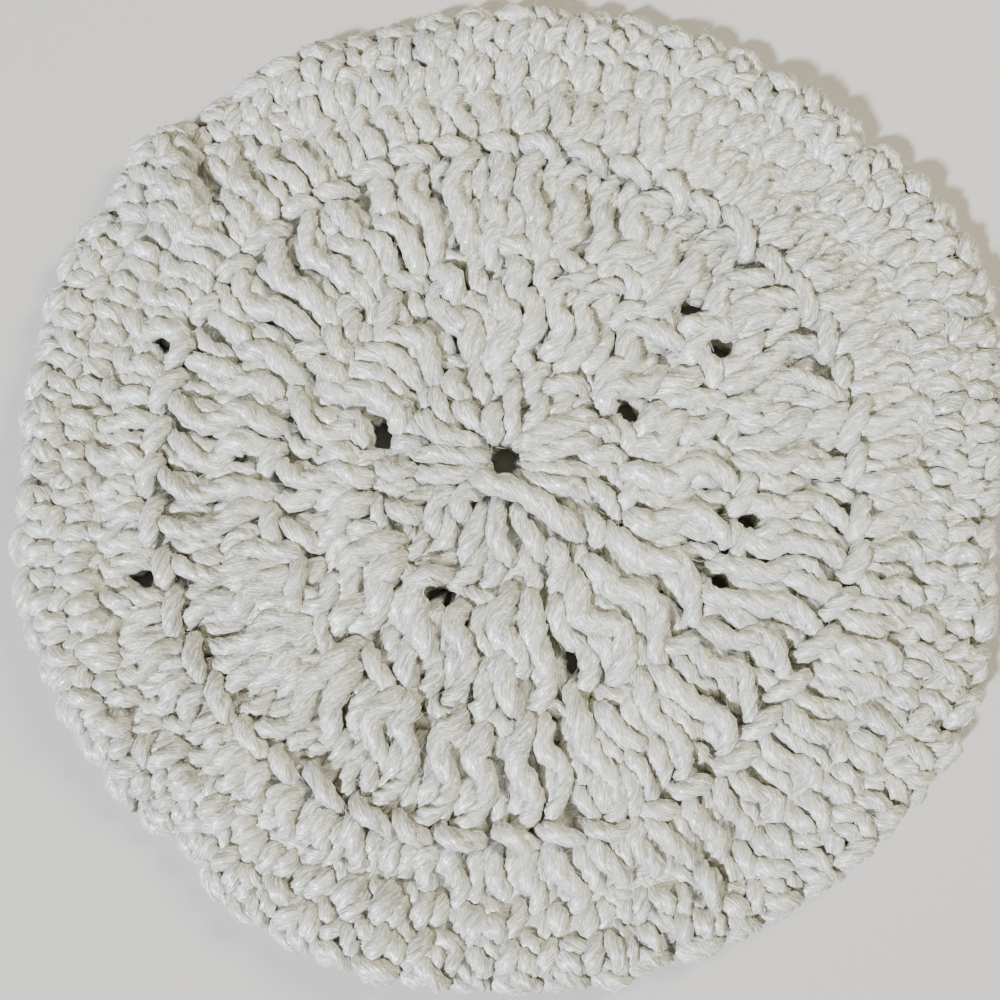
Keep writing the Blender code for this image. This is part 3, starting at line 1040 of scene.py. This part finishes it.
def loose_fibres(name, skeins, curved, short):
    """Fine closed threads that leave the strands' surfaces at a slant."""
    fronts = [strand for skein in skeins for strand in skein.strands if strand[2] == SIDES]
    middles = np.vstack([middle for middle, radius, sides in fronts])
    halves = np.concatenate([radius for middle, radius, sides in fronts])
    aheads = np.vstack([np.gradient(middle, axis=0) for middle, radius, sides in fronts])
    aheads /= np.linalg.norm(aheads, axis=1)[:, None]
    pick = np.random.default_rng(FIBRE_SEED)
    points, faces, base = [], [], 0
    kinds = ((curved, CURVED_RINGS, CURVED_LONGEST), (short, SHORT_RINGS, SHORT_LONGEST))
    for count, rings, longest in kinds:
        root = pick.integers(0, len(middles), count)
        out = pick.normal(size=(count, 3)) + MORE_UPWARD
        ahead = aheads[root] * pick.choice((-1.0, 1.0), count)[:, None]
        out -= ahead * np.sum(out * ahead, axis=1)[:, None]
        out /= np.linalg.norm(out, axis=1)[:, None]
        sideways = np.cross(ahead, out)
        stray = pick.random(count) < STRAY
        long = pick.uniform(SHORTEST_SHARE * longest, longest, count) * np.where(stray, STRAY_LONGER, 1.0)
        lift = pick.uniform(*LIFT_RANGE, count)
        lift = lift + np.where(stray, pick.uniform(*STRAY_LIFT_RANGE, count), 0.0)
        curl = pick.normal(0.0, CURL, count)
        curl = curl + np.where(stray, pick.normal(0.0, STRAY_CURL, count), 0.0)
        start = middles[root] + out * (halves[root] * ROOTED)[:, None]
        loops = []
        for ring in range(rings):
            t = ring / (rings - 1)
            centre = start + ahead * (long * t * (1.0 - BOW * t))[:, None]
            centre += out * (lift * t**1.5)[:, None] + sideways * (curl * t * t)[:, None]
            for side in range(FIBRE_SIDES):
                turn = 2 * math.pi * side / FIBRE_SIDES
                slim = FIBRE * (1.0 - TIP_THINNER * t)
                loops.append(centre + slim * (math.cos(turn) * out + math.sin(turn) * sideways))
        threads = np.stack(loops, 1)[clear_of_openings(centre)]
        threads[:, :, 2] = np.maximum(threads[:, :, 2], FIBRE)
        points.extend(threads.reshape(-1, 3))
        for thread in range(len(threads)):
            for ring in range(rings - 1):
                a, b = base + ring * FIBRE_SIDES, base + (ring + 1) * FIBRE_SIDES
                for s in range(FIBRE_SIDES):
                    n = (s + 1) % FIBRE_SIDES
                    faces.append((a + s, a + n, b + n, b + s))
            last = base + (rings - 1) * FIBRE_SIDES
            faces.append((base + 2, base + 1, base))
            faces.append((last, last + 1, last + 2))
            base += rings * FIBRE_SIDES
    mesh = bpy.data.meshes.new(name)
    mesh.from_pydata((np.array(points) * MM).tolist(), [], faces)
    mesh.shade_smooth()
    mesh.materials.append(fibre_finish)
    piece = bpy.data.objects.new(name, mesh)
    bpy.context.scene.collection.objects.link(piece)
    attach(piece, "root")
    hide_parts(HOLDER)
    return piece


# Acrylic fibre, spun and unfinished: pale, smooth and faintly glossy, never as white as a painted glint.
fibre_finish = bpy.data.materials.new("acrylic_fibre")
fibre_finish.use_nodes = True
fibre_shader = fibre_finish.node_tree.nodes["Principled BSDF"]
# tufts: from one 2 mm tuft to the next the fibres lie bright or dull to the light
tuft_place = add_node(fibre_finish, "ShaderNodeTexCoord").outputs["Object"]
tufts = add_node(fibre_finish, "ShaderNodeTexNoise", {}, Vector=tuft_place, Scale=500.0, Detail=2.0)
fibre_tone = add_node(fibre_finish, "ShaderNodeValToRGB", {}, Fac=tufts.outputs["Fac"])
fibre_tone.color_ramp.elements[0].position = 0.35
fibre_tone.color_ramp.elements[0].color = linear("#DEDBD0")
fibre_tone.color_ramp.elements[1].position = 0.65
fibre_tone.color_ramp.elements[1].color = linear("#F8F7F3")
fibre_finish.node_tree.links.new(fibre_tone.outputs["Color"], fibre_shader.inputs["Base Color"])
fibre_shader.inputs["Roughness"].default_value = 0.45
fibre_shader.inputs["IOR"].default_value = 1.49
INNER_ROUNDS = 3
inner_fibres = loose_fibres("inner_loose_fibres", SKEINS[:INNER_ROUNDS], curved=4800, short=9200)
outer_fibres = loose_fibres("outer_loose_fibres", SKEINS[INNER_ROUNDS:], curved=6000, short=11500)

# ---------------------------------------------------------------------------------------------
# Floor, light and camera.  The holder lies on a plain pale floor under one cool main light from the
# lower left and one warmer, weaker light from the upper right.
# ---------------------------------------------------------------------------------------------
FLOOR_SIZE = 40.0
FLOOR_HEIGHT = -0.0002  # just under the holder, so that no two faces share one plane
bpy.ops.mesh.primitive_plane_add(size=FLOOR_SIZE, location=(0.0, 0.0, FLOOR_HEIGHT))
floor = bpy.context.object
floor.name = "floor"
pale = bpy.data.materials.new("pale_floor")
pale.use_nodes = True
pale_shader = pale.node_tree.nodes["Principled BSDF"]
pale_shader.inputs["Base Color"].default_value = linear("#B9B5AC")
pale_shader.inputs["Roughness"].default_value = 0.8
floor.data.materials.append(pale)

VIEW_ANGLE = 45.0
VIEW_TILT = 10.0
VIEW_DISTANCE = 0.217
VIEW_AIM = Vector((-0.00342, -0.00552, 0.0))
lens = bpy.data.cameras.new("camera")
lens.angle = math.radians(VIEW_ANGLE)
lens.clip_start = 0.01
camera = bpy.data.objects.new("camera", lens)
tilt = math.radians(VIEW_TILT)
camera.location = VIEW_AIM + Vector((0.0, -math.sin(tilt), math.cos(tilt))) * VIEW_DISTANCE
camera.rotation_euler = (tilt, 0.0, 0.0)
bpy.context.scene.collection.objects.link(camera)
bpy.context.scene.camera = camera


def soft_light(name, size, power, colour, place):
    lamp = bpy.data.lights.new(name, "AREA")
    lamp.size = size
    lamp.energy = power
    lamp.color = linear(colour)[:3]
    thing = bpy.data.objects.new(name, lamp)
    thing.location = place
    thing.rotation_euler = (-Vector(place)).to_track_quat("-Z", "Y").to_euler()
    bpy.context.scene.collection.objects.link(thing)


soft_light("window_light", size=0.22, power=152.0, colour="#E8EEFF", place=(-1.2, -1.28, 1.43))
soft_light("room_light", size=0.26, power=6.8, colour="#FBF3DF", place=(0.47, 0.31, 0.495))
world = bpy.data.worlds.new("room")
bpy.context.scene.world = world
world.use_nodes = True
surround = world.node_tree.nodes["Background"]
surround.inputs["Color"].default_value = linear("#F2EBD4")
surround.inputs["Strength"].default_value = 0.23
